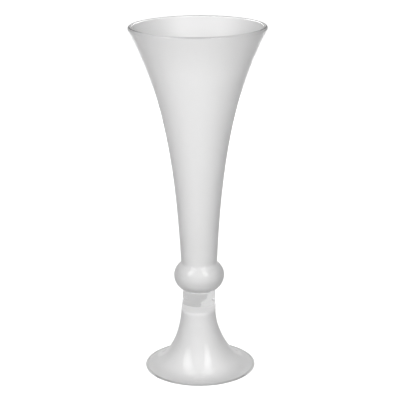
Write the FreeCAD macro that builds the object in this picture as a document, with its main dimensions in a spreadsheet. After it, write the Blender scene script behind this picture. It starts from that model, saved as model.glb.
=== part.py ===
import FreeCAD, Part
import math
import os
import Sketcher

# A trumpet vase of heavy clear glass with a pearl white lacquer on the inside.
# It stands on a bell-shaped foot. A short solid stem joins the foot to a hollow ball, the knop,
# and the tall flared bowl is open right down into the knop. The lacquer lines the two hollows,
# so the solid stem between them, the lip and the foot's edge stay clear glass.
#
# Millimetres, +Z up. The origin is the centre of the flat ring that the foot stands on.
# Every piece is drawn in a frame of its own, which starts at the seam that it stands on.

os.makedirs("parts", exist_ok=True)

# Lengths are in millimetres and angles in degrees. A share is a part of the span that it follows.
SIZES = {
    # The whole vase: the bowl takes the height that the other pieces leave
    "vase_height": 406.0,
    "mouth_dia": 155.8,
    # The foot, a blown bell with a solid crown
    "foot_height": 80.0,
    "foot_dia": 128.0,
    "foot_edge": 2.4,
    "foot_wall": 4.3,
    "rest_width": 0.6,
    "rest_bevel": 0.4,
    "crown_step": 0.9,
    "crown_band": 7.3,
    "crown_bend_share": 0.75,
    "crown_solid": 8.8,
    "hollow_corner": 3.0,
    "foot_flare_share": 0.478,
    "foot_rise_share": 0.491,
    "hollow_flare_share": 0.66,
    "hollow_rise_share": 0.28,
    # The stem, a solid drum of clear glass
    "stem_length": 15.0,
    "stem_dia": 38.5,
    # The knop, a hollow ball that is open to the bowl
    "knop_height": 35.0,
    "knop_equator": 18.4,
    "knop_dia": 58.7,
    "knop_wall": 4.6,
    "knop_floor": 5.0,
    "seam_round": 2.5,
    # The bowl, a tall trumpet with a fire-polished lip
    "bowl_wall": 4.4,
    "neck_dia": 42.2,
    "neck_angle": 2.6,
    "neck_pull_share": 0.433,
    "lip_wall": 4.4,
    "lip_angle": 26.8,
    "lip_pull_share": 0.296,
    # The lacquer inside both hollows
    "lacquer_film": 0.3,
}

# The sketcher counts an edge's points up from 1, and its own two axes down from -1
START, END, CENTRE = range(1, 4)
ACROSS_AXIS, UPRIGHT_AXIS = range(-1, -3, -1)

doc = FreeCAD.newDocument("TrumpetVase")
sheet = doc.addObject("Spreadsheet::Sheet", "Sizes")
for row, (name, size) in enumerate(SIZES.items(), start=1):
    sheet.set(f"A{row}", str(size))
    sheet.setAlias(f"A{row}", name)
doc.recompute()


class Outline:
    """A closed outline on a body's XZ plane, drawn corner by corner.

    Every place is a pair of formulas, the radius and the height. The sketch holds it with
    dimensions that are bound to those formulas, so the outline follows the sheet.
    """

    def __init__(self, body, label, start):
        self.sketch = body.newObject("Sketcher::SketchObject", label)
        plane = [face for face in body.Origin.OriginFeatures if face.Role == "XZ_Plane"][0]
        self.sketch.AttachmentSupport = [(plane, "")]
        self.sketch.MapMode = "FlatFace"
        self.first = start
        self.last = start
        self.first_point = None
        self.last_point = None

    def value(self, formula):
        return float(self.sketch.evalExpression(formula))

    def spot(self, place):
        return FreeCAD.Vector(self.value(place[0]), self.value(place[1]), 0)

    def bind(self, kind, edge, point, formula):
        """Hold one point's radius or height at a formula; zero is held on the axis itself."""
        if formula == "0":
            axis = UPRIGHT_AXIS if kind == "DistanceX" else ACROSS_AXIS
            self.sketch.addConstraint(Sketcher.Constraint("PointOnObject", edge, point, axis))
            return
        size = self.value(formula)
        held = Sketcher.Constraint(kind, ACROSS_AXIS, START, edge, point, size)
        index = self.sketch.addConstraint(held)
        self.sketch.setExpression(f"Constraints[{index}]", formula)

    def hold(self, edge, point, place):
        self.bind("DistanceX", edge, point, place[0])
        self.bind("DistanceY", edge, point, place[1])

    def join(self, edge, near_point, far_point, place):
        """Tie a new edge to the one before it, and hold its far point at a place."""
        near = (edge, near_point)
        far = (edge, far_point)
        if self.last_point is None:
            self.hold(*near, self.first)
            self.first_point = near
        else:
            self.sketch.addConstraint(Sketcher.Constraint("Coincident", *self.last_point, *near))
        if place is self.first:
            self.sketch.addConstraint(Sketcher.Constraint("Coincident", *far, *self.first_point))
        elif place is not None:
            self.hold(*far, place)
        self.last = place
        self.last_point = far

    def line_to(self, place):
        edge = self.sketch.addGeometry(Part.LineSegment(self.spot(self.last), self.spot(place)))
        self.join(edge, START, END, place)

    def close(self):
        self.line_to(self.first)

    def add_arc(self, centre, start, end, anticlockwise):
        """Add an arc and return it with its two points in the order that the outline meets them."""
        if not anticlockwise:
            start, end = end, start
        begin = math.atan2(start.y - centre.y, start.x - centre.x)
        stop = math.atan2(end.y - centre.y, end.x - centre.x)
        if stop <= begin:
            stop += math.tau
        circle = Part.Circle(centre, FreeCAD.Vector(0, 0, 1), (start - centre).Length)
        edge = self.sketch.addGeometry(Part.ArcOfCircle(circle, begin, stop))
        return (edge, START, END) if anticlockwise else (edge, END, START)

    def arc_to(self, place, centre, anticlockwise):
        """A round edge about a centre, which the sketch holds by its distance from the axis."""
        start, end, middle = self.spot(self.last), self.spot(place), self.spot(centre)
        edge, near_point, far_point = self.add_arc(middle, start, end, anticlockwise)
        self.join(edge, near_point, far_point, place)
        self.bind("DistanceX", edge, CENTRE, centre[0])

    def ogee_to(self, place, small_radius, small_first):
        """Two arcs that flow into each other, upright at both ends.

        The small one has the given radius. The large one takes the radius that makes them
        touch: with m across and h up between the large end and the small centre, that is
        (m*m + h*h - r*r) / (2 * (m + r)).
        """
        start, end = self.spot(self.last), self.spot(place)
        small = self.value(small_radius)
        near, far = (start, end) if small_first else (end, start)
        side = 1 if far.x > near.x else -1
        across = abs(far.x - near.x) - small
        up = abs(far.y - near.y)
        large = (across ** 2 + up ** 2 - small ** 2) / (2 * (across + small))
        small_centre = FreeCAD.Vector(near.x + side * small, near.y, 0)
        large_centre = FreeCAD.Vector(far.x - side * large, far.y, 0)
        touch = small_centre + (large_centre - small_centre) * (small / (small + large))
        first_centre, second_centre = small_centre, large_centre
        if not small_first:
            first_centre, second_centre = large_centre, small_centre
        climbing = end.y > start.y
        turn = (first_centre.x < start.x) == climbing
        first, first_near, first_far = self.add_arc(first_centre, start, touch, turn)
        self.join(first, first_near, first_far, None)
        second, second_near, second_far = self.add_arc(second_centre, touch, end, not turn)
        smooth = Sketcher.Constraint("Tangent", first, first_far, second, second_near)
        self.sketch.addConstraint(smooth)
        self.hold(second, second_far, place)
        self.sketch.addConstraint(Sketcher.Constraint("Horizontal", first, first_near, first, CENTRE))
        self.sketch.addConstraint(Sketcher.Constraint("Horizontal", second, second_far, second, CENTRE))
        rounded = first if small_first else second
        index = self.sketch.addConstraint(Sketcher.Constraint("Radius", rounded, small))
        self.sketch.setExpression(f"Constraints[{index}]", small_radius)
        self.last = place
        self.last_point = (second, second_far)

    def curve_to(self, near_handle, far_handle, place):
        """A smooth curve that leaves its start towards one handle and arrives from the other."""
        poles = [self.spot(corner) for corner in (self.last, near_handle, far_handle, place)]
        curve = Part.BSplineCurve()
        curve.buildFromPolesMultsKnots(poles, [len(poles)] * 2, [0.0, 1.0], False, len(poles) - 1)
        edge = self.sketch.addGeometry(curve)
        first_circle = self.sketch.GeometryCount
        self.sketch.exposeInternalGeometry(edge)
        self.join(edge, START, END, place)
        _, near_circle, far_circle, _ = range(first_circle, first_circle + len(poles))
        self.hold(near_circle, CENTRE, near_handle)
        self.hold(far_circle, CENTRE, far_handle)


def new_body(label, height):
    """A body that stands at a height of the sheet's sizes above the table."""
    body = doc.addObject("PartDesign::Body", label)
    body.Label = label
    if height != "0":
        body.setExpression("Placement.Base.z", height)
    return body


def turn_round(body, outline, label):
    """Turn a closed outline once round the vase's axis."""
    doc.recompute()
    turned = body.newObject("PartDesign::Revolution", label)
    turned.Profile = outline.sketch
    turned.ReferenceAxis = (outline.sketch, ["V_Axis"])
    outline.sketch.Visibility = False


CROWN_RADIUS = "(Sizes.stem_dia / 2 + Sizes.crown_step)"
EDGE_MIDDLE = "(Sizes.foot_dia / 2 - Sizes.foot_edge / 2)"


def foot_hollow(coat):
    """The line of the foot's hollow, one coat inside its glass, from the ceiling to the mouth.

    It gives the ceiling's middle and rim, the top of the wall with the centre of the round
    corner before it, the flare's two handles, and the mouth.
    """
    ceiling = "(Sizes.foot_height - Sizes.crown_solid)"
    wall = f"({CROWN_RADIUS} - Sizes.foot_wall)"
    mouth = f"({EDGE_MIDDLE} - Sizes.rest_width - Sizes.rest_bevel)"
    corner = f"({wall} - Sizes.hollow_corner)"
    corner_height = f"({ceiling} - Sizes.hollow_corner)"
    flare = f"Sizes.hollow_flare_share * ({mouth} - {wall})"
    rise = f"Sizes.hollow_rise_share * ({corner_height} - Sizes.rest_bevel)"
    return (
        ("0", f"{ceiling} - {coat}"),
        (corner, f"{ceiling} - {coat}"),
        (f"{wall} - {coat}", corner_height),
        (corner, corner_height),
        (f"{wall} - {coat}", f"{corner_height} - {rise}"),
        (f"{mouth} - {flare}", f"Sizes.rest_bevel - {coat}"),
        (mouth, f"Sizes.rest_bevel - {coat}"),
    )


def make_foot():
    """The bell foot: a half-round edge, a long flare, and a solid crown that bends in to the stem."""
    body = new_body("foot", "0")
    crown_foot = "(Sizes.foot_height - Sizes.crown_band)"
    bend = f"{crown_foot} + Sizes.crown_bend_share * Sizes.crown_band"
    flare = f"Sizes.foot_flare_share * ({EDGE_MIDDLE} - {CROWN_RADIUS})"
    rise = f"Sizes.foot_rise_share * ({crown_foot} - Sizes.foot_edge)"
    ceiling, rim, wall_top, corner, upper_handle, lower_handle, mouth = foot_hollow("0")

    glass = Outline(body, "FootWall", (f"{EDGE_MIDDLE} - Sizes.rest_width", "0"))
    glass.line_to((EDGE_MIDDLE, "0"))
    glass.arc_to((EDGE_MIDDLE, "Sizes.foot_edge"), (EDGE_MIDDLE, "Sizes.foot_edge / 2"), True)
    glass.curve_to(
        (f"{EDGE_MIDDLE} - {flare}", "Sizes.foot_edge"),
        (CROWN_RADIUS, f"{crown_foot} - {rise}"),
        (CROWN_RADIUS, crown_foot),
    )
    glass.curve_to(
        (CROWN_RADIUS, bend),
        ("Sizes.stem_dia / 2", bend),
        ("Sizes.stem_dia / 2", "Sizes.foot_height"),
    )
    glass.line_to(("0", "Sizes.foot_height"))
    glass.line_to(ceiling)
    glass.line_to(rim)
    glass.arc_to(wall_top, corner, False)
    glass.curve_to(upper_handle, lower_handle, mouth)
    glass.close()
    turn_round(body, glass, "FootGlass")
    return body


def make_foot_lacquer():
    """The film inside the foot's hollow, from the bevel at its mouth up to the flat ceiling."""
    body = new_body("foot_lacquer", "0")
    ceiling, rim, wall_top, corner, upper_handle, lower_handle, mouth = foot_hollow("0")
    film = Outline(body, "FootFilm", ceiling)
    film.line_to(rim)
    film.arc_to(wall_top, corner, False)
    film.curve_to(upper_handle, lower_handle, mouth)

    bare = foot_hollow("Sizes.lacquer_film")
    ceiling, rim, wall_top, corner, upper_handle, lower_handle, mouth = bare
    film.line_to(mouth)
    film.curve_to(lower_handle, upper_handle, wall_top)
    film.arc_to(rim, corner, True)
    film.line_to(ceiling)
    film.close()
    turn_round(body, film, "FootCoat")
    return body


def make_stem():
    """The solid drum of clear glass between the foot's crown and the knop."""
    body = new_body("stem", "Sizes.foot_height")
    sketch = body.newObject("Sketcher::SketchObject", "StemRound")
    plane = [face for face in body.Origin.OriginFeatures if face.Role == "XY_Plane"][0]
    sketch.AttachmentSupport = [(plane, "")]
    sketch.MapMode = "FlatFace"
    diameter = SIZES["stem_dia"]
    circle = Part.Circle(FreeCAD.Vector(0, 0, 0), FreeCAD.Vector(0, 0, 1), diameter / 2)
    edge = sketch.addGeometry(circle)
    sketch.addConstraint(Sketcher.Constraint("Coincident", edge, CENTRE, ACROSS_AXIS, START))
    index = sketch.addConstraint(Sketcher.Constraint("Diameter", edge, diameter))
    sketch.setExpression(f"Constraints[{index}]", "Sizes.stem_dia")
    doc.recompute()
    drum = body.newObject("PartDesign::Pad", "StemGlass")
    drum.Profile = sketch
    drum.setExpression("Length", "Sizes.stem_length")
    sketch.Visibility = False
    return body


def make_knop():
    """The hollow ball: a seat on the stem, a thick floor, and a neck that opens into the bowl."""
    body = new_body("knop", "Sizes.foot_height + Sizes.stem_length")
    inner = "(Sizes.knop_dia / 2 - Sizes.knop_wall)"
    floor_edge = f"{inner} - (Sizes.knop_equator - Sizes.knop_floor)"

    glass = Outline(body, "KnopWall", ("0", "0"))
    glass.line_to(("Sizes.stem_dia / 2", "0"))
    glass.ogee_to(("Sizes.knop_dia / 2", "Sizes.knop_equator"), "Sizes.seam_round", True)
    glass.ogee_to(("Sizes.neck_dia / 2", "Sizes.knop_height"), "Sizes.seam_round", False)
    glass.line_to(("Sizes.neck_dia / 2 - Sizes.bowl_wall", "Sizes.knop_height"))
    glass.ogee_to((inner, "Sizes.knop_equator"), "Sizes.seam_round + Sizes.bowl_wall", True)
    glass.arc_to((floor_edge, "Sizes.knop_floor"), (floor_edge, "Sizes.knop_equator"), False)
    glass.line_to(("0", "Sizes.knop_floor"))
    glass.close()
    turn_round(body, glass, "KnopGlass")
    return body


BOWL_HEIGHT = "(Sizes.vase_height - Sizes.foot_height - Sizes.stem_length - Sizes.knop_height)"


def bowl_side(neck_radius, across, base):
    """The line of one side of the bowl's wall, from the neck at a base height up to the lip.

    It gives the neck, two handles and the lip. At the neck it is measured from the axis, and at
    the lip it is measured across the wall, outwards from the wall's middle.
    """
    neck_pull = f"Sizes.neck_pull_share * {BOWL_HEIGHT}"
    lip_pull = f"Sizes.lip_pull_share * {BOWL_HEIGHT}"
    lip_radius = f"Sizes.mouth_dia / 2 - Sizes.lip_wall / 2 + ({across}) * cos(Sizes.lip_angle)"
    lip_height = f"{base} + {BOWL_HEIGHT} - Sizes.lip_wall / 2 - ({across}) * sin(Sizes.lip_angle)"
    return (
        (neck_radius, base),
        (
            f"{neck_radius} + {neck_pull} * sin(Sizes.neck_angle)",
            f"{base} + {neck_pull} * cos(Sizes.neck_angle)",
        ),
        (
            f"{lip_radius} - {lip_pull} * sin(Sizes.lip_angle)",
            f"{lip_height} - {lip_pull} * cos(Sizes.lip_angle)",
        ),
        (lip_radius, lip_height),
    )


def make_bowl():
    """The trumpet: one even wall that opens from the neck to a rounded lip."""
    body = new_body("trumpet_bowl", "Sizes.foot_height + Sizes.stem_length + Sizes.knop_height")
    outer = bowl_side("Sizes.neck_dia / 2", "Sizes.lip_wall / 2", "0")
    inner = bowl_side("Sizes.neck_dia / 2 - Sizes.bowl_wall", "-Sizes.lip_wall / 2", "0")
    middle = bowl_side("Sizes.neck_dia / 2", "0", "0")

    glass = Outline(body, "BowlWall", inner[0])
    glass.line_to(outer[0])
    glass.curve_to(*outer[1:])
    glass.arc_to(inner[-1], middle[-1], True)
    glass.curve_to(*reversed(inner[:-1]))
    turn_round(body, glass, "BowlGlass")
    return body


def make_bowl_lacquer():
    """The film on the inside of the bowl, through the neck and round the knop to its floor."""
    body = new_body("bowl_lacquer", "Sizes.foot_height + Sizes.stem_length")
    knop_inner = "Sizes.knop_dia / 2 - Sizes.knop_wall"
    floor_edge = f"({knop_inner} - (Sizes.knop_equator - Sizes.knop_floor))"
    neck_round = "Sizes.seam_round + Sizes.bowl_wall"
    neck_inner = "Sizes.neck_dia / 2 - Sizes.bowl_wall"
    glass_side = bowl_side(neck_inner, "-Sizes.lip_wall / 2", "Sizes.knop_height")
    bare_side = bowl_side(
        f"{neck_inner} - Sizes.lacquer_film",
        "-Sizes.lip_wall / 2 - Sizes.lacquer_film",
        "Sizes.knop_height",
    )

    film = Outline(body, "BowlFilm", ("0", "Sizes.knop_floor"))
    film.line_to((floor_edge, "Sizes.knop_floor"))
    film.arc_to((knop_inner, "Sizes.knop_equator"), (floor_edge, "Sizes.knop_equator"), True)
    film.ogee_to(glass_side[0], neck_round, False)
    film.curve_to(*glass_side[1:])
    film.line_to(bare_side[-1])
    film.curve_to(*reversed(bare_side[:-1]))
    film.ogee_to(
        (f"{knop_inner} - Sizes.lacquer_film", "Sizes.knop_equator"),
        f"{neck_round} + Sizes.lacquer_film",
        True,
    )
    film.arc_to(
        (floor_edge, "Sizes.knop_floor + Sizes.lacquer_film"),
        (floor_edge, "Sizes.knop_equator"),
        False,
    )
    film.line_to(("0", "Sizes.knop_floor + Sizes.lacquer_film"))
    film.close()
    turn_round(body, film, "BowlCoat")
    return body


pieces = [
    make_foot(),
    make_foot_lacquer(),
    make_stem(),
    make_knop(),
    make_bowl(),
    make_bowl_lacquer(),
]
doc.recompute()

for item in doc.Objects:
    if "Invalid" in item.State or "Error" in item.State:
        raise RuntimeError(f"{item.Label} did not build: {item.State}")
for item in doc.Objects:
    if item.TypeId == "Sketcher::SketchObject" and not item.FullyConstrained:
        raise RuntimeError(f"{item.Label} is not fully held by its dimensions")
for piece in pieces:
    if piece.Shape.isNull() or not piece.Shape.isValid() or len(piece.Shape.Solids) != 1:
        raise RuntimeError(f"{piece.Label} is not one valid solid")

for piece in pieces:
    piece.Shape.exportStep(f"parts/{piece.Label}.step")
    box = piece.Shape.optimalBoundingBox()
    spans = f"z {box.ZMin:.2f} to {box.ZMax:.2f}, diameter {box.XLength:.2f}"
    print(f"{piece.Label}: {piece.Shape.Volume:.0f} mm3, {spans}")
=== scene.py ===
import math

import bmesh
import bpy
import numpy as np
from mathutils import Matrix, Vector


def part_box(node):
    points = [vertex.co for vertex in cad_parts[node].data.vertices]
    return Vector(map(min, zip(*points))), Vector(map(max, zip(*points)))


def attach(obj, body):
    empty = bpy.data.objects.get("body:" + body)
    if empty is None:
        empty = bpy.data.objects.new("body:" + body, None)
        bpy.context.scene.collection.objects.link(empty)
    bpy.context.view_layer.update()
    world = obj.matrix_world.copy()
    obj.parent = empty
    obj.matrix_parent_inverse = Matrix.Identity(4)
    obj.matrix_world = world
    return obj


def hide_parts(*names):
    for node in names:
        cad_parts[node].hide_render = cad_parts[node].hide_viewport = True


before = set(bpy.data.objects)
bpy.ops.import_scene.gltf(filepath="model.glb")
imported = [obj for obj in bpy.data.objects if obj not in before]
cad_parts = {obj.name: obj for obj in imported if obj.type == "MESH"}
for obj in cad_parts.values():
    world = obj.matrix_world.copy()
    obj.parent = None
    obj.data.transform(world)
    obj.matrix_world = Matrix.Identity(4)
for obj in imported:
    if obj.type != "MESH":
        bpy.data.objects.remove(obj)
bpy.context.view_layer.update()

scene = bpy.context.scene

# Camera
# A long lens a metre and a half away, a little above the mouth and looking down at the
# knop. It leans by a third of a degree, as the photograph does.

camera_distance = 1.4911
camera_height = 0.6468
camera_pitch = 16.533
camera_roll = -0.35
camera_shift = 0.0032
focal_share = 3.376
sensor = 36.0

camera_data = bpy.data.cameras.new("camera")
camera_data.sensor_width = sensor
camera_data.lens = sensor * focal_share
camera_data.shift_x = camera_shift
camera = bpy.data.objects.new("camera", camera_data)
camera.location = (0.0, -camera_distance, camera_height)
look = Matrix.Rotation(math.radians(90.0 - camera_pitch), 3, "X")
camera.rotation_euler = (look @ Matrix.Rotation(math.radians(camera_roll), 3, "Z")).to_euler()
scene.collection.objects.link(camera)
scene.camera = camera

# Foot
# A blown bell of clear glass. Its edge is half round and it stands on a narrow flat ring. Above
# the hollow its crown is solid, and bends in smoothly to where the stem is fused on.

_, foot_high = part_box("foot")
stem_low, stem_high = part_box("stem")
foot_radius = foot_high[0]
foot_height = foot_high[2]
stem_radius = stem_high[0]
foot_edge = 0.0024
foot_wall = 0.0043
rest_width = 0.0006
rest_bevel = 0.0004
crown_step = 0.0009
crown_band = 0.0073
crown_solid = 0.0088
hollow_corner = 0.0030
around = 288
crease = 50.0
same_place = 1e-7

# Slow waves of the outline: share of the radius, lobes round, radians per metre of height, phase.
waves = ((0.0011, 2, 11.0, 0.7), (0.0007, 3, -23.0, 2.1), (0.0006, 1, 61.0, 0.0))
edge_swell = 0.0125
edge_swell_spread = 0.014
edge_shift = 0.0007
edge_shift_spread = 0.018
waist_shift = 0.0012
waist_height = 0.060
waist_spread = 0.026


def curve(start, near, far, end, steps=48):
    """Points on a cubic curve, radius and height in two columns.

    At share t its four corners weigh (1-t)^3, 3 (1-t)^2 t, 3 (1-t) t^2 and t^3.
    """
    share = np.linspace(0.0, 1.0, steps)[:, None]
    corners = [np.array(corner) for corner in (start, near, far, end)]
    weights = (
        (1 - share) ** 3,
        3 * (1 - share) ** 2 * share,
        3 * (1 - share) * share**2,
        share**3,
    )
    return sum(weight * corner for weight, corner in zip(weights, corners))


def rounding(middle, radius, begin, stop, steps=13):
    """Points on an arc: the middle, plus the radius times the cosine and sine of each angle."""
    angle = np.radians(np.linspace(begin, stop, steps))
    return np.array(middle) + radius * np.column_stack([np.cos(angle), np.sin(angle)])


def straight(start, end, steps=2):
    """Points spread evenly on a straight line."""
    share = np.linspace(0.0, 1.0, steps)[:, None]
    return (1 - share) * np.array(start) + share * np.array(end)


def hand_made(places):
    """Blown glass is never quite true: the radius swells and shrinks by a part in a thousand.

    Each place moves out by a sum of waves, share sin(lobes a + climb z + phase). The foot's edge
    also swells, by a hundredth, and sits a hair to the right, and its waist to the left. Each of
    the three is a size times exp(-((z - middle) / spread)^2).
    """
    angle = np.arctan2(places[:, 1], places[:, 0])
    height = places[:, 2]
    swell = sum(
        share * np.sin(lobes * angle + climb * height + phase)
        for share, lobes, climb, phase in waves
    )
    swell += edge_swell * np.exp(-((height / edge_swell_spread) ** 2))
    places[:, :2] *= 1.0 + swell[:, None]
    places[:, 0] += edge_shift * np.exp(-((height / edge_shift_spread) ** 2))
    places[:, 0] -= waist_shift * np.exp(-(((height - waist_height) / waist_spread) ** 2))
    return places


def turned(name, runs, loop=False, from_edge=None):
    """A piece turned about Z from runs of its outline, each with its own material slot.

    A place is (r cos a, r sin a, z). The outline goes round its section anticlockwise, so its
    faces look outwards. It starts and ends on the axis, where one point closes the surface,
    or with loop=True its end meets its start. A run is (points, slot). from_edge is kept for
    the material, which paints shade where it is small: how far each point of the outline lies
    from the edge of a coat, in metres, or a value set lower to paint shade.
    """
    rings = [runs[0][0][:1]]
    slots = []
    for points, slot in runs:
        rings.append(points[1:])
        slots += [slot] * (len(points) - 1)
    outline = np.vstack(rings)
    if loop:
        outline = outline[:-1]
    count = len(outline)
    angle = np.arange(around) * (2 * math.pi / around)
    radius, height = outline[:, 0], outline[:, 1]
    places = np.stack(
        [
            radius[:, None] * np.cos(angle),
            radius[:, None] * np.sin(angle),
            np.repeat(height[:, None], around, axis=1),
        ],
        axis=-1,
    ).reshape(-1, 3)
    ring = np.arange(count if loop else count - 1)
    here = ring[:, None] * around + np.arange(around)[None, :]
    ahead = ring[:, None] * around + np.roll(np.arange(around), -1)[None, :]
    up = around * count
    quads = np.stack([here, ahead, (ahead + around) % up, (here + around) % up], axis=-1)
    quads = quads.reshape(-1, 4)
    slot_of = np.repeat(np.array(slots), around)
    mesh = bpy.data.meshes.new(name)
    mesh.from_pydata(hand_made(places), [], quads)
    mesh.polygons.foreach_set("material_index", slot_of)
    mesh.polygons.foreach_set("use_smooth", np.ones(len(quads), dtype=bool))
    if from_edge is not None:
        kept = mesh.attributes.new("from_edge", "FLOAT", "POINT")
        kept.data.foreach_set("value", np.repeat(from_edge, around))
    piece = bpy.data.objects.new(name, mesh)
    scene.collection.objects.link(piece)
    if not loop:
        close_poles(mesh)
    mesh.set_sharp_from_angle(angle=math.radians(crease))
    mesh.update()
    return piece


def close_poles(mesh):
    """Merges the rings of no radius at both ends of an outline into one point each."""
    built = bmesh.new()
    built.from_mesh(mesh)
    bmesh.ops.remove_doubles(built, verts=built.verts, dist=same_place)
    built.to_mesh(mesh)
    built.free()


def glass_material(name, tint):
    """Thick glass with a grey cast and faint cords, which lets the lamps through to the lacquer."""
    material = bpy.data.materials.new(name)
    material.use_nodes = True
    nodes, links = material.node_tree.nodes, material.node_tree.links
    glass = nodes["Principled BSDF"]
    glass.inputs["Base Color"].default_value = tint
    glass.inputs["Transmission Weight"].default_value = 1.0
    glass.inputs["IOR"].default_value = 1.5
    glass.inputs["Roughness"].default_value = 0.05
    place = nodes.new("ShaderNodeTexCoord")
    stretch = nodes.new("ShaderNodeMapping")
    stretch.inputs["Scale"].default_value = (1.0, 1.0, 0.18)
    links.new(place.outputs["Object"], stretch.inputs["Vector"])
    cords = nodes.new("ShaderNodeTexNoise")
    cords.inputs["Scale"].default_value = 55.0
    cords.inputs["Detail"].default_value = 2.0
    links.new(stretch.outputs["Vector"], cords.inputs["Vector"])
    bump = nodes.new("ShaderNodeBump")
    bump.inputs["Strength"].default_value = 0.06
    bump.inputs["Distance"].default_value = 0.002
    links.new(cords.outputs["Fac"], bump.inputs["Height"])
    links.new(bump.outputs["Normal"], glass.inputs["Normal"])
    path = nodes.new("ShaderNodeLightPath")
    either = nodes.new("ShaderNodeMath")
    either.operation = "MAXIMUM"
    links.new(path.outputs["Is Shadow Ray"], either.inputs[0])
    links.new(path.outputs["Is Diffuse Ray"], either.inputs[1])
    clear = nodes.new("ShaderNodeBsdfTransparent")
    mix = nodes.new("ShaderNodeMixShader")
    links.new(either.outputs[0], mix.inputs[0])
    links.new(glass.outputs[0], mix.inputs[1])
    links.new(clear.outputs[0], mix.inputs[2])
    links.new(mix.outputs[0], nodes["Material Output"].inputs["Surface"])
    return material


def seam_material():
    """Where two gathers of glass are fused there is no surface to see: it is wholly open."""
    material = bpy.data.materials.new("fused_seam")
    material.use_nodes = True
    seam = material.node_tree.nodes["Principled BSDF"]
    seam.inputs["Alpha"].default_value = 0.0
    seam.inputs["Roughness"].default_value = 0.0
    return material


clear_glass = glass_material("clear_glass", (0.9, 0.9, 0.9, 1.0))
fused_seam = seam_material()
GLASS, SEAM = 0, 1


def finish_glass(piece, node):
    """Gives a glass piece its two materials and sets it in the place of its node."""
    piece.data.materials.append(clear_glass)
    piece.data.materials.append(fused_seam)
    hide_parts(node)
    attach(piece, "root")


crown_radius = stem_radius + crown_step
edge_middle = foot_radius - foot_edge / 2
rest_inner = edge_middle - rest_width
flare_end = foot_height - crown_band
ceiling = foot_height - crown_solid
hollow_top = crown_radius - foot_wall
hollow_end = ceiling - hollow_corner
hollow_foot = rest_inner - rest_bevel

# How far the corners of each curve pull it, as shares of its width and of its height.
bend_pull = 0.75
foot_pull_in = 0.478
foot_pull_down = 0.491
hollow_pull_in = 0.66
hollow_pull_down = 0.28
bend = flare_end + bend_pull * crown_band
foot_flare = foot_pull_in * (edge_middle - crown_radius)
foot_rise = foot_pull_down * (flare_end - foot_edge)
hollow_flare = hollow_pull_in * (hollow_foot - hollow_top)
hollow_rise = hollow_pull_down * (hollow_end - rest_bevel)


def hollow_side(offset):
    """The foot's hollow from the ceiling's middle to its mouth, moved into the glass by an offset."""
    corner = (hollow_top - hollow_corner, hollow_end)
    return [
        straight((0.0, ceiling + offset), (corner[0], ceiling + offset), 10),
        rounding(corner, hollow_corner + offset, 90.0, 0.0),
        curve(
            (hollow_top + offset, hollow_end),
            (hollow_top + offset, hollow_end - hollow_rise),
            (hollow_foot - hollow_flare, rest_bevel + offset),
            (hollow_foot, rest_bevel + offset),
        ),
    ]


def joined(parts):
    """Runs of points as one, with the places that they share only once."""
    return np.vstack([parts[0]] + [part[1:] for part in parts[1:]])


foot = turned(
    "foot_glass",
    [
        (joined(hollow_side(0.0)), GLASS),
        (straight((hollow_foot, rest_bevel), (rest_inner, 0.0)), GLASS),
        (straight((rest_inner, 0.0), (edge_middle, 0.0), 6), GLASS),
        (rounding((edge_middle, foot_edge / 2), foot_edge / 2, -90.0, 90.0, 17), GLASS),
        (
            curve(
                (edge_middle, foot_edge),
                (edge_middle - foot_flare, foot_edge),
                (crown_radius, flare_end - foot_rise),
                (crown_radius, flare_end),
                96,
            ),
            GLASS,
        ),
        (
            curve(
                (crown_radius, flare_end),
                (crown_radius, bend),
                (stem_radius, bend),
                (stem_radius, foot_height),
                24,
            ),
            GLASS,
        ),
        (straight((stem_radius, foot_height), (0.0, foot_height), 10), SEAM),
    ],
)
finish_glass(foot, "foot")

# Foot lacquer
# Pearl white lacquer, sprayed up into the foot's hollow. It wets the glass, so its outer face
# is set a twentieth of a millimetre into it. At the foot's rim its colour is painted darker, as
# shade.

lacquer_film = 0.0003
wetted = 0.00005

# Painted shade along the coat's edges. The colour is full this far from the edge, in metres,
# and keeps this share of its white at the edge. At the foot's rim that distance is counted
# from this share of the first, not from 0.
full_cover = 0.0017
darkest_edge_share = 0.05
rim_shade_start = 0.45

# Painted light and shade by height: height in metres and share of white. They were set
# against the photograph, and stand for light and shade that the lamps below don't give, so
# they are not a measured coat.
painted_light_top = 0.40
cover_stops = (
    (0.001, 0.84),
    (0.0055, 0.965),
    (0.009, 0.99),
    (0.030, 0.935),
    (0.0665, 0.97),
    (0.0690, 1.08),
    (0.0705, 1.08),
    (0.0712, 1.00),
    (0.1000, 1.08),
    (0.1035, 1.06),
    (0.108, 0.93),
    (0.122, 0.89),
    (0.140, 0.95),
    (0.200, 0.965),
    (0.280, 1.0),
    (0.360, 1.03),
    (0.400, 0.95),
)


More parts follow.
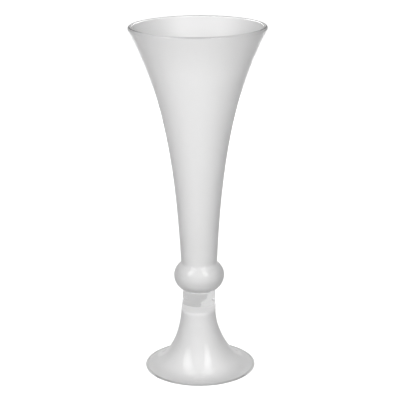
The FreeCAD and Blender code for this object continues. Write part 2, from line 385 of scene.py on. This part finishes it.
def pearl_material(name, colour):
    """Pearl white lacquer: fine mica that glints, and the slow mottle of a sprayed coat.

    Its colour is scaled twice, and both scale painted light and shade: by a painted edge shade
    that rises from its edge share to 1 as the from_edge attribute goes from 0 to its reach, and
    by the shares of painted light and shade by height, read at the height in the object's own metres.
    """
    material = bpy.data.materials.new(name)
    material.use_nodes = True
    nodes, links = material.node_tree.nodes, material.node_tree.links
    coat = nodes["Principled BSDF"]
    coat.inputs["Roughness"].default_value = 0.5
    coat.inputs["IOR"].default_value = 2.2
    place = nodes.new("ShaderNodeTexCoord")
    mottle = nodes.new("ShaderNodeTexNoise")
    mottle.inputs["Scale"].default_value = 28.0
    mottle.inputs["Detail"].default_value = 3.0
    mica = nodes.new("ShaderNodeTexNoise")
    mica.inputs["Scale"].default_value = 2600.0
    mica.inputs["Detail"].default_value = 1.0
    links.new(place.outputs["Object"], mottle.inputs["Vector"])
    links.new(place.outputs["Object"], mica.inputs["Vector"])
    depth = nodes.new("ShaderNodeMix")
    depth.data_type = "RGBA"
    depth.inputs["A"].default_value = [0.975 * part for part in colour[:3]] + [1.0]
    depth.inputs["B"].default_value = colour
    links.new(mottle.outputs["Fac"], depth.inputs["Factor"])
    glint = nodes.new("ShaderNodeMix")
    glint.data_type = "RGBA"
    glint.blend_type = "MULTIPLY"
    glint.inputs["Factor"].default_value = 0.05
    links.new(depth.outputs["Result"], glint.inputs["A"])
    links.new(mica.outputs["Fac"], glint.inputs["B"])
    # Painted shade: the colour darkens towards the coat's edge as from_edge falls.
    reach_in = nodes.new("ShaderNodeAttribute")
    reach_in.attribute_name = "from_edge"
    edge_shade = nodes.new("ShaderNodeMapRange")
    edge_shade.inputs["From Min"].default_value = 0.0
    edge_shade.inputs["From Max"].default_value = full_cover
    edge_shade.inputs["To Min"].default_value = darkest_edge_share
    edge_shade.inputs["To Max"].default_value = 1.0
    links.new(reach_in.outputs["Fac"], edge_shade.inputs["Value"])
    # Painted light and shade: the colour is scaled by a table of shares read at the height.
    height = nodes.new("ShaderNodeSeparateXYZ")
    links.new(place.outputs["Object"], height.inputs[0])
    up = nodes.new("ShaderNodeMath")
    up.operation = "DIVIDE"
    up.inputs[1].default_value = painted_light_top
    links.new(height.outputs["Z"], up.inputs[0])
    cover = nodes.new("ShaderNodeValToRGB")
    stops = cover.color_ramp.elements
    while len(stops) < len(cover_stops):
        stops.new(0.5)
    for stop, (level, share) in zip(stops, cover_stops):
        stop.position = level / painted_light_top
        stop.color = (share, share, share, 1.0)
    links.new(up.outputs[0], cover.inputs["Fac"])
    whole = nodes.new("ShaderNodeMath")
    whole.operation = "MULTIPLY"
    links.new(edge_shade.outputs["Result"], whole.inputs[0])
    links.new(cover.outputs["Color"], whole.inputs[1])
    shaded_colour = nodes.new("ShaderNodeVectorMath")
    shaded_colour.operation = "SCALE"
    links.new(glint.outputs["Result"], shaded_colour.inputs["Vector"])
    links.new(whole.outputs[0], shaded_colour.inputs["Scale"])
    links.new(shaded_colour.outputs["Vector"], coat.inputs["Base Color"])
    return material


pearl_lacquer = pearl_material("pearl_lacquer", (0.923, 0.92, 0.921, 1.0))


def finish_lacquer(piece, node):
    """Gives a film its lacquer and sets it in the place of its node."""
    piece.data.materials.append(pearl_lacquer)
    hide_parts(node)
    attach(piece, "root")


def edge_distance(side):
    """How far each point of an outline lies from its last point, along the outline."""
    steps = np.hypot(*np.diff(side, axis=0).T)
    return np.append(np.cumsum(steps[::-1])[::-1], 0.0)


air_side = joined(hollow_side(-lacquer_film))
glass_side = joined(hollow_side(wetted))[::-1]
foot_film = turned(
    "foot_film",
    [
        (air_side, 0),
        (straight(air_side[-1], glass_side[0]), 0),
        (glass_side, 0),
    ],
    from_edge=np.append(
        np.full(len(air_side), full_cover),
        rim_shade_start * full_cover + edge_distance(glass_side[::-1])[::-1],
    ),
)
finish_lacquer(foot_film, "foot_lacquer")

# Stem
# A solid drum of clear glass. Nothing is painted behind it, so it shows what lies around and
# above and below it, bent by the glass.

stem = turned(
    "stem_glass",
    [
        (straight((0.0, stem_low[2]), (stem_radius, stem_low[2]), 10), SEAM),
        (straight((stem_radius, stem_low[2]), (stem_radius, stem_high[2]), 24), GLASS),
        (straight((stem_radius, stem_high[2]), (0.0, stem_high[2]), 10), SEAM),
    ],
)
finish_glass(stem, "stem")

# Knop
# A hollow ball of clear glass. A small round runs into it from the stem and from the neck,
# where the glassmaker fused the three.

knop_low, knop_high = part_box("knop")
knop_radius = knop_high[0]
knop_seat = knop_low[2]
knop_top = knop_high[2]
equator_rise = 0.0184
knop_wall = 0.0046
floor_wall = 0.0050
equator = knop_seat + equator_rise
knop_floor = knop_seat + floor_wall
seam_round = 0.0025
neck_radius = 0.0211
bowl_wall = 0.0044


def ogee(near, far, small, small_first, steps=28):
    """Two arcs that touch and are upright at both ends; the one at near has the small radius.

    With m across and h up from the small centre to far, the large radius is
    (m m + h h - r r) / (2 (m + r)).
    """
    across = far[0] - near[0] - small
    up = abs(far[1] - near[1])
    large = (across**2 + up**2 - small**2) / (2 * (across + small))
    small_middle = np.array([near[0] + small, near[1]])
    large_middle = np.array([far[0] - large, far[1]])
    lean = math.degrees(math.atan2(far[1] - near[1], large_middle[0] - small_middle[0]))
    flat = 180.0 if far[1] > near[1] else -180.0
    first = rounding(small_middle, small, flat, lean)
    second = rounding(large_middle, large, lean - flat, 0.0, steps)
    whole = joined([first, second])
    return whole if small_first else whole[::-1]


neck_outer = (neck_radius, knop_top)
neck_inner = (neck_radius - bowl_wall, knop_top)
knop_inner = knop_radius - knop_wall
floor_round = equator - knop_floor
floor_edge = knop_inner - floor_round


def knop_hollow(offset):
    """The knop's hollow from the neck down to the middle of its floor, moved into the glass."""
    return [
        ogee(
            (neck_inner[0] + offset, knop_top),
            (knop_inner + offset, equator),
            seam_round + bowl_wall - offset,
            True,
        ),
        rounding((floor_edge, equator), floor_round + offset, 0.0, -90.0, 24),
        straight((floor_edge, knop_floor - offset), (0.0, knop_floor - offset), 10),
    ]


knop = turned(
    "knop_glass",
    [
        (straight((0.0, knop_seat), (stem_radius, knop_seat), 10), SEAM),
        (ogee((stem_radius, knop_seat), (knop_radius, equator), seam_round, True), GLASS),
        (ogee(neck_outer, (knop_radius, equator), seam_round, False), GLASS),
        (straight(neck_outer, neck_inner), SEAM),
        (joined(knop_hollow(0.0)), GLASS),
    ],
)
finish_glass(knop, "knop")

# Trumpet bowl
# One even wall of clear glass, blown out from the neck to the mouth. Its lip was rounded in the
# fire, and is left clear of lacquer.

bowl_low, bowl_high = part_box("trumpet_bowl")
mouth_radius = bowl_high[0]
mouth_height = bowl_high[2]
bowl_height = mouth_height - bowl_low[2]
lip_wall = 0.0044
lip_angle = math.radians(26.8)
neck_angle = math.radians(2.6)
neck_pull = 0.433
lip_pull = 0.296
across_lip = np.array([math.cos(lip_angle), -math.sin(lip_angle)])
along_lip = np.array([math.sin(lip_angle), math.cos(lip_angle)])
along_neck = np.array([math.sin(neck_angle), math.cos(neck_angle)])
lip_middle = np.array([mouth_radius - lip_wall / 2, mouth_height - lip_wall / 2])


def bowl_side(offset, steps=80):
    """The wall's face that lies an offset out from its middle, from the neck up to the lip."""
    foot_point = np.array([neck_radius - bowl_wall / 2 + offset, knop_top])
    lip_point = lip_middle + offset * across_lip
    return curve(
        foot_point,
        foot_point + neck_pull * bowl_height * along_neck,
        lip_point - lip_pull * bowl_height * along_lip,
        lip_point,
        steps,
    )


lip_degrees = math.degrees(lip_angle)
bowl = turned(
    "bowl_glass",
    [
        (straight(neck_inner, neck_outer), SEAM),
        (bowl_side(bowl_wall / 2), GLASS),
        (rounding(lip_middle, lip_wall / 2, -lip_degrees, 180.0 - lip_degrees, 25), GLASS),
        (bowl_side(-bowl_wall / 2)[::-1], GLASS),
    ],
    loop=True,
)
finish_glass(bowl, "trumpet_bowl")

# Bowl lacquer
# The same pearl white, poured and sprayed down the bowl, through the neck and round the knop.
# It stops at the lip, which stays clear, and just below the lip its colour is painted darker,
# as a dark line. Its inner face is a little less white: painted shade inside the bowl.

# Painted shade inside the bowl: the inner face counts as this share of the way in from the coat's
# edge.
inner_shade_share = 0.90
glass_side = joined(
    [part[::-1] for part in knop_hollow(wetted)[::-1]] + [bowl_side(-bowl_wall / 2 + wetted)]
)
air_side = joined([bowl_side(-bowl_wall / 2 - lacquer_film)[::-1]] + knop_hollow(-lacquer_film))
bowl_film = turned(
    "bowl_film",
    [
        (glass_side, 0),
        (straight(glass_side[-1], air_side[0]), 0),
        (air_side, 0),
    ],
    from_edge=np.append(
        edge_distance(glass_side),
        np.full(len(air_side), inner_shade_share * full_cover),
    ),
)
finish_lacquer(bowl_film, "bowl_lacquer")

# Floor and light
# A plain white table in a white surround, fitted to one photograph. Four soft boxes make the
# highlights, a card and three more lamps shade the coat, and glass sees a dimmed surround.

reach = 12.0

# The share of the white background that glass near the vase, and a mirror reflection, get.
glass_share = 0.27
gloss_share = 0.35
floor_mesh = bpy.data.meshes.new("floor")
floor_mesh.from_pydata(
    [(-reach, -reach, 0.0), (reach, -reach, 0.0), (reach, reach, 0.0), (-reach, reach, 0.0)],
    [],
    [(0, 1, 2, 3)],
)
floor = bpy.data.objects.new("floor", floor_mesh)
scene.collection.objects.link(floor)


def plainly_seen(nodes, links, near, far):
    """A mask: 1 to the camera, gloss_share in a mirror reflection, and through glass glass_share
    that rises to 1 as Y goes from near to far, which is behind the vase as the camera sees it.

    The mask is camera + gloss_share mirrored + through transmission. A transmission ray of rough
    glass also counts as a glossy ray, so mirrored is glossy less transmission, not below 0. In
    the world's nodes, Position is the ray's direction, and Y is that of a direction.
    """
    path = nodes.new("ShaderNodeLightPath")
    place = nodes.new("ShaderNodeNewGeometry")
    along = nodes.new("ShaderNodeSeparateXYZ")
    links.new(place.outputs["Position"], along.inputs[0])
    through = nodes.new("ShaderNodeMapRange")
    through.inputs["From Min"].default_value = near
    through.inputs["From Max"].default_value = far
    through.inputs["To Min"].default_value = glass_share
    through.inputs["To Max"].default_value = 1.0
    links.new(along.outputs["Y"], through.inputs["Value"])
    mirrored = nodes.new("ShaderNodeMath")
    mirrored.operation = "SUBTRACT"
    mirrored.use_clamp = True
    links.new(path.outputs["Is Glossy Ray"], mirrored.inputs[0])
    links.new(path.outputs["Is Transmission Ray"], mirrored.inputs[1])
    in_gloss = nodes.new("ShaderNodeMath")
    in_gloss.operation = "MULTIPLY_ADD"
    in_gloss.inputs[1].default_value = gloss_share
    links.new(mirrored.outputs[0], in_gloss.inputs[0])
    links.new(path.outputs["Is Camera Ray"], in_gloss.inputs[2])
    in_glass = nodes.new("ShaderNodeMath")
    in_glass.operation = "MULTIPLY_ADD"
    links.new(path.outputs["Is Transmission Ray"], in_glass.inputs[0])
    links.new(through.outputs["Result"], in_glass.inputs[1])
    links.new(in_gloss.outputs[0], in_glass.inputs[2])
    return in_glass.outputs[0]


# The paper's colour where light falls on it and where it is seen, and the glow that makes it white.
paper_tone = 0.45
paper_seen = 0.4
paper_glow = 0.97
paper_near = 0.6
paper_far = 1.2
floor_material = bpy.data.materials.new("floor")
floor_material.use_nodes = True
nodes, links = floor_material.node_tree.nodes, floor_material.node_tree.links
paper = nodes["Principled BSDF"]
paper.inputs["Roughness"].default_value = 0.9
paper.inputs["Specular IOR Level"].default_value = 0.0
paper.inputs["Emission Color"].default_value = (1.0, 1.0, 1.0, 1.0)
glow = nodes.new("ShaderNodeMath")
glow.operation = "MULTIPLY"
glow.inputs[1].default_value = paper_glow
seen = plainly_seen(nodes, links, paper_near, paper_far)
links.new(seen, glow.inputs[0])
links.new(glow.outputs[0], paper.inputs["Emission Strength"])
tone = nodes.new("ShaderNodeMix")
tone.data_type = "RGBA"
tone.inputs["A"].default_value = (paper_tone, paper_tone, paper_tone, 1.0)
tone.inputs["B"].default_value = (paper_seen, paper_seen, paper_seen, 1.0)
links.new(seen, tone.inputs["Factor"])
links.new(tone.outputs["Result"], paper.inputs["Base Color"])
floor_mesh.materials.append(floor_material)

surround_light = 0.33
surround_near = 0.1
surround_far = 0.6
world = bpy.data.worlds.new("surround")
scene.world = world
world.use_nodes = True
nodes, links = world.node_tree.nodes, world.node_tree.links
background = nodes["Background"]
background.inputs["Color"].default_value = (1.0, 1.0, 1.0, 1.0)
strength = nodes.new("ShaderNodeMix")
strength.data_type = "FLOAT"
strength.inputs["A"].default_value = surround_light
strength.inputs["B"].default_value = 1.0
surround_seen = plainly_seen(nodes, links, surround_near, surround_far)
links.new(surround_seen, strength.inputs["Factor"])
links.new(strength.outputs["Result"], background.inputs["Strength"])


# The product u (1 - u) v (1 - v) averages a thirty-sixth over a box, so this makes it average 1.
soft_peak = 36.0


def soft_box(name, azimuth, elevation, width, height, radiance, distance):
    """A soft box that faces the middle of the vase, so many degrees off the camera's side and up.

    It is brightest in the middle and dark at its edges: at the shares u and v of its width and
    height its light is radiance times soft_peak u (1 - u) v (1 - v).
    """
    turn, rise = math.radians(azimuth), math.radians(elevation)
    way = Vector(
        (
            math.sin(turn) * math.cos(rise),
            -math.cos(turn) * math.cos(rise),
            math.sin(rise),
        )
    )
    lamp = bpy.data.lights.new(name, "AREA")
    lamp.shape = "RECTANGLE"
    lamp.size, lamp.size_y = width, height
    lamp.energy = radiance * math.pi * width * height
    lamp.use_nodes = True
    nodes, links = lamp.node_tree.nodes, lamp.node_tree.links
    sheet = nodes.new("ShaderNodeNewGeometry")
    spread = nodes.new("ShaderNodeSeparateXYZ")
    links.new(sheet.outputs["Parametric"], spread.inputs[0])
    shares = []
    for side in ("X", "Y"):
        rest = nodes.new("ShaderNodeMath")
        rest.operation = "SUBTRACT"
        rest.inputs[0].default_value = 1.0
        links.new(spread.outputs[side], rest.inputs[1])
        hump = nodes.new("ShaderNodeMath")
        hump.operation = "MULTIPLY"
        links.new(spread.outputs[side], hump.inputs[0])
        links.new(rest.outputs[0], hump.inputs[1])
        shares.append(hump.outputs[0])
    both = nodes.new("ShaderNodeMath")
    both.operation = "MULTIPLY"
    links.new(shares[0], both.inputs[0])
    links.new(shares[1], both.inputs[1])
    soft = nodes.new("ShaderNodeMath")
    soft.operation = "MULTIPLY"
    soft.inputs[1].default_value = soft_peak
    links.new(both.outputs[0], soft.inputs[0])
    links.new(soft.outputs[0], nodes["Emission"].inputs["Strength"])
    box = bpy.data.objects.new(name, lamp)
    box.location = Vector((0.0, 0.0, mouth_height / 2)) + distance * way
    box.rotation_euler = (-way).to_track_quat("-Z", "Y").to_euler()
    box.visible_camera = False
    scene.collection.objects.link(box)
    return box


# Name, degrees round from the camera's side, degrees up, width, height, radiance, distance, and
# the rays that it is hidden from, which real lamps can't be. Those hidden from diffuse rays make
# highlights alone. Those hidden from glossy and transmission rays shade only the coat and floor.
lamp_far = 1.6
lamp_table = (
    ("left_box", -52.0, 40.0, 0.90, 1.50, 1.65, lamp_far, ("diffuse",)),
    ("right_box", 35.0, 40.0, 0.75, 1.50, 1.60, lamp_far, ("diffuse",)),
    ("high_left_box", -60.0, 70.0, 0.80, 0.80, 0.80, lamp_far, ("diffuse", "transmission")),
    ("high_right_box", 50.0, 70.0, 0.80, 0.80, 0.80, lamp_far, ("diffuse", "transmission")),
    ("front_card", -3.0, 22.0, 0.80, 0.40, 10.4, 1.25, ("glossy", "transmission")),
    ("left_side", -85.0, 20.0, 1.00, 1.00, 0.56, lamp_far, ("glossy", "transmission")),
    ("right_side", 85.0, 20.0, 1.00, 1.00, 0.34, lamp_far, ("glossy", "transmission")),
    ("back_fill", 180.0, 6.0, 1.40, 0.40, 11.0, lamp_far, ("glossy", "transmission")),
)
for name, azimuth, elevation, width, height, radiance, distance, hidden_from in lamp_table:
    lamp = soft_box(name, azimuth, elevation, width, height, radiance, distance)
    for rays in hidden_from:
        setattr(lamp, "visible_" + rays, False)

# A glowing sheet on the floor behind the vase, no lamp and seen only through glass. It paints
# the light lower right of the stem. Nothing in the photograph shows it.
sheet_glow = 0.78
sheet_corners = [
    (-0.055, 0.09, 0.001),
    (-0.01, 0.20, 0.001),
    (-0.36, 0.33, 0.001),
    (-0.36, 0.09, 0.001),
]
sheet_mesh = bpy.data.meshes.new("glowing_sheet")
sheet_mesh.from_pydata(sheet_corners, [], [(0, 1, 2, 3)])
sheet = bpy.data.objects.new("glowing_sheet", sheet_mesh)
sheet_material = bpy.data.materials.new("glowing_sheet")
sheet_material.use_nodes = True
glowing_shader = sheet_material.node_tree.nodes["Principled BSDF"]
glowing_shader.inputs["Base Color"].default_value = (0.0, 0.0, 0.0, 1.0)
glowing_shader.inputs["Specular IOR Level"].default_value = 0.0
glowing_shader.inputs["Emission Color"].default_value = (1.0, 1.0, 1.0, 1.0)
glowing_shader.inputs["Emission Strength"].default_value = sheet_glow
sheet_mesh.materials.append(sheet_material)
scene.collection.objects.link(sheet)
for rays in ("camera", "diffuse", "glossy", "shadow"):
    setattr(sheet, "visible_" + rays, False)

scene.view_settings.view_transform = "Standard"
